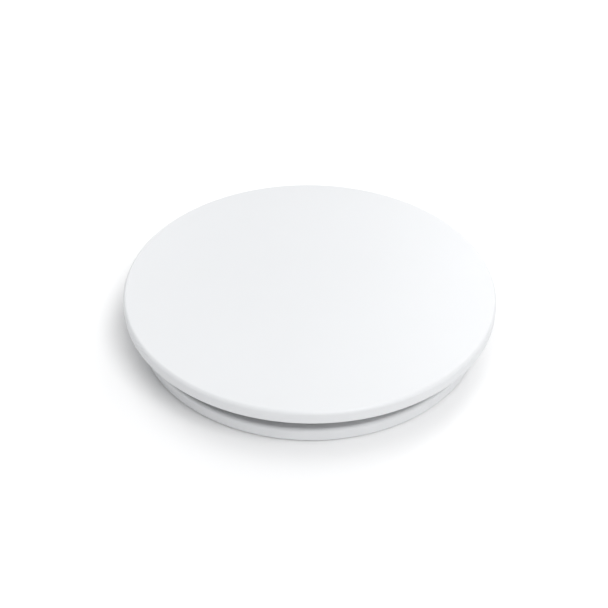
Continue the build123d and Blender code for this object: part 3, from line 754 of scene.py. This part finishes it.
def cup_outline():
    """Drawn sheet outline of the cup: floor, corner, threaded wall and rim."""
    outer = CUP_INNER + CUP_SHEET
    low = CUP_LOW.z
    floor = low + CUP_SHEET
    rim = CUP_HIGH.z
    lip = CUP_SHEET / 2
    points = [(CUP_HOLE, floor), (CUP_HOLE, low)]
    points += arc((outer - CUP_CORNER, low + CUP_CORNER), CUP_CORNER, -90, 0, 8)
    points += [(outer, CUP_THREAD_LOW)]
    points += dense_line((outer, CUP_THREAD_LOW), (outer, rim - lip), CUP_STEP)
    points += arc((outer - lip, rim - lip), lip, 0, 180, 8)
    points += dense_line((CUP_INNER, rim - lip), (CUP_INNER, CUP_THREAD_LOW), CUP_STEP)
    points += [(CUP_INNER, CUP_THREAD_LOW)]
    inside = CUP_CORNER - CUP_SHEET
    points += arc((CUP_INNER - inside, floor + inside), inside, 0, -90, 6)
    return points


def stadium(length, width, steps=14):
    """Points of a slot with round ends."""
    half = (length - width) / 2
    points = []
    for side in (1, -1):
        for number in range(steps + 1):
            angle = math.pi * number / steps - math.pi / 2
            points.append((side * (half + width / 2 * math.cos(angle)), side * width / 2 * math.sin(angle)))
    return points


def prism(work, outline, place, depth):
    """Adds a closed prism with the given outline, set in place by a matrix."""
    rings = []
    for level in (-depth / 2, depth / 2):
        rings.append([work.verts.new(place @ Vector((x, y, level))) for x, y in outline])
    count = len(outline)
    for n in range(count):
        after = (n + 1) % count
        work.faces.new((rings[0][n], rings[0][after], rings[1][after], rings[1][n]))
    work.faces.new(reversed(rings[0]))
    work.faces.new(rings[1])


def cup_cutter():
    """All the punched windows and vents, as one mesh."""
    work = bmesh.new()
    window = stadium(WINDOW_LENGTH, WINDOW_WIDTH)
    vent = stadium(2 * VENT_RADIUS, 2 * VENT_RADIUS)
    for number in range(WINDOW_COUNT):
        turn = Matrix.Rotation(FULL_TURN * number / WINDOW_COUNT, 4, "Z")
        half_turn = Matrix.Rotation(FULL_TURN * (number + 0.5) / WINDOW_COUNT, 4, "Z")
        place = turn @ Matrix.Translation((CUP_INNER, 0, WINDOW_HEIGHT_AT)) @ OUTWARD
        prism(work, window, place, WINDOW_PUNCH)
        place = half_turn @ Matrix.Translation((VENT_CIRCLE, 0, CUP_LOW.z))
        prism(work, vent, place, VENT_PUNCH)
    bmesh.ops.recalc_face_normals(work, faces=work.faces)
    return to_piece("cup_cutter", work)


def make_cup():
    """Support cup with its rolled thread, windows and vents."""
    piece = lathe("threaded_cup", cup_outline(), CUP_SEGMENTS, rolled)
    cut_out(piece, cup_cutter())
    dress(smooth(piece, CUP_SOFT), "support_cup")


# ----------------------------------------------------------- sprinkler body
def pipe_radius(height, angle):
    """Radius of the tapered pipe thread at a height and angle."""
    low = BODY_LOW.z
    high = low + PIPE_LENGTH
    crest = PIPE_LARGE - (high - height) * PIPE_TAPER
    away = abs(((height - low) / PIPE_PITCH - angle / FULL_TURN) % 1 - 0.5)
    rise = (0.5 - PIPE_FLAT / 2 - away) / (0.5 - PIPE_FLAT)
    radius = crest - PIPE_DEPTH * (1 - min(1, max(0, rise)))
    entry = PIPE_CHAMFER + (height - low)
    run_out = NECK_RADIUS + PIPE_RUN_OUT * (high - height)
    return min(radius, entry, run_out)


def pipe_nipple(work):
    """Adds the threaded end of the body, open at the neck."""
    low = BODY_LOW.z
    high = low + PIPE_LENGTH
    neck = NECK_CUT_Z - NECK_GAP
    columns = []
    rows = math.ceil((high - low + PIPE_PITCH) / PIPE_PITCH * PIPE_ROWS)
    for column in range(PIPE_COLUMNS + 1):
        angle = FULL_TURN * column / PIPE_COLUMNS
        points = [(BORE_RADIUS, neck), (BORE_RADIUS, low + BORE_MOUTH), (BORE_RADIUS + BORE_MOUTH, low)]
        for row in range(rows + 1):
            height = low - PIPE_PITCH + PIPE_PITCH * (row / PIPE_ROWS + column / PIPE_COLUMNS)
            height = min(high, max(low, height))
            points.append((pipe_radius(height, angle), height))
        points.append((NECK_RADIUS, neck))
        columns.append([work.verts.new((r * math.cos(angle), r * math.sin(angle), z)) for r, z in points])
    for here, there in zip(columns, columns[1:]):
        for n in range(len(here) - 1):
            work.faces.new((here[n], there[n], there[n + 1], here[n + 1]))
    verts = [vert for column in columns for vert in column]
    bmesh.ops.remove_doubles(work, verts=verts, dist=WELD)


def open_rim(work, radius, low, high):
    """Open edges near a radius, between two heights."""
    found = []
    for edge in work.edges:
        if len(edge.link_faces) != 1:
            continue
        middle = (edge.verts[0].co + edge.verts[1].co) / 2
        if low < middle.z < high and abs(math.hypot(middle.x, middle.y) - radius) < RIM_BAND:
            found.append(edge)
    return found


def make_body():
    """Brass body: the forged frame from the design, with a true tapered thread below."""
    work = welded("sprinkler_body")
    bmesh.ops.bisect_plane(
        work,
        geom=work.verts[:] + work.edges[:] + work.faces[:],
        plane_co=(0, 0, NECK_CUT_Z),
        plane_no=(0, 0, 1),
        clear_inner=True,
    )
    break_edges(work, BODY_EDGE, BODY_SHARP)
    pipe_nipple(work)
    for radius in (NECK_RADIUS, BORE_RADIUS):
        rims = open_rim(work, radius, NECK_CUT_Z - RIM_REACH, NECK_CUT_Z + RIM_REACH)
        bmesh.ops.bridge_loops(work, edges=rims)
    bmesh.ops.recalc_face_normals(work, faces=work.faces)
    dress(smooth(to_piece("forged_body", work), BODY_SOFT), "sprinkler_body")


# ------------------------------------------------------------------ the bulb
def bulb_outline(low, high, radius, pip_tip):
    """Outer outline of the bulb: round low end, faintly waisted barrel, shoulder and pip."""
    low_centre = low + radius
    shoulder = high - BULB_SHOULDER
    points = arc((0, low_centre), radius, -90, 0, 14)
    for number in range(1, BARREL_STEPS):
        share = number / BARREL_STEPS
        waist = BULB_WAIST * math.sin(math.pi * share)
        points.append((radius - waist, low_centre + (shoulder - low_centre) * share))
    end = math.degrees(math.acos(BULB_PIP / radius))
    points += arc((0, shoulder), radius, 0, end, 12)
    top = shoulder + radius * math.sin(math.radians(end))
    points += [(BULB_PIP * BULB_PIP_NECK, top + BULB_PIP_NECK_AT * (high - top))]
    points += arc((0, high - pip_tip), pip_tip, 10, 90, 6)
    return points


def make_bulb():
    """Glass bulb with its sealed tip, and the liquid with a bubble above it."""
    radius = BULB_HIGH.x
    outer = bulb_outline(BULB_LOW.z, BULB_HIGH.z, radius, BULB_PIP_TIP)
    hollow = radius - BULB_WALL
    low_centre = BULB_LOW.z + radius
    shoulder = BULB_HIGH.z - BULB_SHOULDER
    inner = arc((0, shoulder), hollow, 90, 0, 12) + arc((0, low_centre), hollow, 0, -90, 12)
    bulb = shell_of_revolution("glass_ampoule", outer, inner)
    dress(smooth(bulb, ROUND), "glass_bulb")
    wet = hollow - LIQUID_GAP
    points = arc((0, low_centre), wet, -90, 0, 12)
    points += [(share * wet, LIQUID_HIGH.z - depth) for share, depth in MENISCUS]
    liquid = lathe("red_fill", points, BULB_SIDES)
    dress(smooth(liquid, ROUND), "bulb_liquid")


def shell_of_revolution(name, outer, inner):
    """A closed turned skin with a closed hollow inside it."""
    work = bmesh.new()
    for outline in (outer, inner):
        rings = [turned_ring(work, radius, height, BULB_SIDES) for radius, height in outline]
        for low, high in zip(rings, rings[1:]):
            join_rings(work, low, high, BULB_SIDES)
    return to_piece(name, work)


# ---------------------------------------------------- solder, springs, others
def make_solder(number):
    """Frozen solder between a tab and the cover: a pad with an uneven, hollow-sided edge."""
    node = f"solder_joint_{number}"
    low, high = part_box(node)
    rng = random.Random(SOLDER_SEED + number)
    centre = (low + high) / 2
    angle = math.atan2(centre.y, centre.x)
    waves = [(rng.uniform(*SOLDER_LOBES), rng.uniform(0, FULL_TURN)) for _ in range(SOLDER_WAVES)]
    work = bmesh.new()
    rings = []
    for share, spread in SOLDER_LEVELS:
        ring = []
        for n in range(SOLDER_SIDES):
            a = FULL_TURN * n / SOLDER_SIDES
            wobble = sum(math.sin(round(f) * a + p) for f, p in waves) / len(waves)
            grow = SOLDER_SPREAD * spread * (1 - SOLDER_WOBBLE + SOLDER_WOBBLE * wobble)
            x = (SOLDER_HALF_LENGTH + grow) * power_cosine(a)
            y = (SOLDER_HALF_WIDTH + grow) * power_cosine(a - FULL_TURN / 4)
            ring.append(work.verts.new((x, y, low.z + (high.z - low.z) * share)))
        rings.append(ring)
    for here, there in zip(rings, rings[1:]):
        join_rings(work, here, there, SOLDER_SIDES)
    work.faces.new(reversed(rings[0]))
    work.faces.new(rings[-1])
    place = Matrix.Translation((centre.x, centre.y, 0)) @ Matrix.Rotation(angle, 4, "Z")
    bmesh.ops.transform(work, matrix=place, verts=work.verts)
    bmesh.ops.recalc_face_normals(work, faces=work.faces)
    dress(smooth(to_piece(f"solder_puddle_{number}", work), ROUND), node)


def power_cosine(angle):
    """Cosine pushed outwards, which squares off a round outline."""
    value = math.cos(angle)
    return math.copysign(abs(value) ** SOLDER_SQUARENESS, value)


def make_spring(number):
    """Ejection spring: the CAD leaf with its edges broken, cut into level bands from its held foot up to
    its free end.
    """
    node = f"ejection_spring_{number}"
    work = welded(node)
    break_edges(work, LEAF_EDGE)
    for step in range(LEAF_STEPS + 1):
        height = LEAF_HOLD_Z + (LEAF_FREE_Z - LEAF_HOLD_Z) * step / LEAF_STEPS
        everything = work.verts[:] + work.edges[:] + work.faces[:]
        bmesh.ops.bisect_plane(work, geom=everything, plane_co=(0, 0, height), plane_no=(0, 0, 1))
    piece = smooth(to_piece(f"leaf_spring_{number}", work))
    stand_for(piece, node)
    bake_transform(piece)


def ease_foot(piece):
    """Raises the lowest faces a hair, so that the pins' heads stop just short of the bushes."""
    foot = min(vertex.co.z for vertex in piece.data.vertices)
    for vertex in piece.data.vertices:
        if vertex.co.z < foot + WELD:
            vertex.co.z += BUSH_EASE


def make_small_parts():
    """CAD shapes that are right as they are, with edges broken, and each tab's solder and spring."""
    refined("lock_ring", "cup_lock_ring", width=0.12 * MM)
    refined("skirt_sleeve", "retainer_skirt", width=0.06 * MM)
    refined("button_cap", "outlet_cap", width=0.07 * MM)
    refined("ejector_strip", "cap_ejector", width=0.05 * MM)
    refined("load_screw", "compression_screw", width=0.06 * MM)
    ease_foot(refined("pin_housing", "guide_pin_housing", width=0.15 * MM))
    refined("toothed_deflector", "deflector", width=0.12 * MM)
    for number in (1, 2):
        refined(f"stepped_pin_{number}", f"guide_pin_{number}", width=0.06 * MM)
    for number in (1, 2, 3):
        refined(f"bronze_tab_{number}", f"solder_tab_{number}", width=0.07 * MM)
        make_solder(number)
        make_spring(number)


def dress_nodes():
    """Gives every carried-over CAD node the material of its slot."""
    for node, slot in SLOT_OF.items():
        paint(NODES[node], slot)


# --------------------------------------------------- ceiling, light, camera
def make_ceiling():
    """The flat surface the head is set in, with its round hole."""
    work = bmesh.new()
    rings = [turned_ring(work, radius, CEILING_Z, CEILING_SIDES) for radius in CEILING_RINGS]
    for near, far in zip(rings, rings[1:]):
        join_rings(work, far, near, CEILING_SIDES)
    ceiling = to_piece("ceiling", work)
    ceiling.data.materials.append(ceiling_white())


def make_lamp(name, azimuth, elevation, distance, size, power):
    """A round soft light that faces the head."""
    turn, lift = math.radians(azimuth), math.radians(elevation)
    towards = Vector((math.cos(turn) * math.cos(lift), math.sin(turn) * math.cos(lift), math.sin(lift)))
    data = bpy.data.lights.new(name, "AREA")
    data.shape = "DISK"
    data.size = size
    data.energy = power
    lamp = bpy.data.objects.new(name, data)
    bpy.context.scene.collection.objects.link(lamp)
    lamp.location = distance * towards
    lamp.rotation_euler = (-towards).to_track_quat("-Z", "Y").to_euler()


def make_light():
    """An even sky and the lamps, shown with no film curve."""
    world = bpy.data.worlds.new("studio")
    bpy.context.scene.world = world
    world.use_nodes = True
    sky = world.node_tree.nodes["Background"]
    sky.inputs["Color"].default_value = WORLD_COLOUR
    sky.inputs["Strength"].default_value = WORLD_STRENGTH
    for lamp in LAMPS:
        make_lamp(*lamp)
    scene = bpy.context.scene
    scene.view_settings.view_transform = "Standard"
    scene.view_settings.look = "None"


def make_camera():
    """Camera above the room side. Its place is in units of the cover plate's radius."""
    unit = COVER_HIGH.x
    sine, cosine = math.sin(CAMERA_ELEVATION), math.cos(CAMERA_ELEVATION)
    right = Vector((1, 0, 0))
    up = Vector((0, sine, cosine))
    back = Vector((0, -cosine, sine))
    data = bpy.data.cameras.new("camera")
    data.lens = CAMERA_LENS
    data.sensor_width = CAMERA_SENSOR
    data.clip_start = CAMERA_NEAR
    camera = bpy.data.objects.new("camera", data)
    bpy.context.scene.collection.objects.link(camera)
    place = unit * (CAMERA_DISTANCE * back - CAMERA_ACROSS * right - CAMERA_UP * up)
    turn = Matrix((right, up, back)).transposed().to_4x4()
    roll = Matrix.Rotation(CAMERA_ROLL, 4, "Z")
    camera.matrix_world = Matrix.Translation(place) @ turn @ roll
    bpy.context.scene.camera = camera


dress_nodes()
make_cover()
make_flange()
make_gasket()
make_cup()
make_body()
make_bulb()
make_small_parts()
make_ceiling()
make_light()
make_camera()
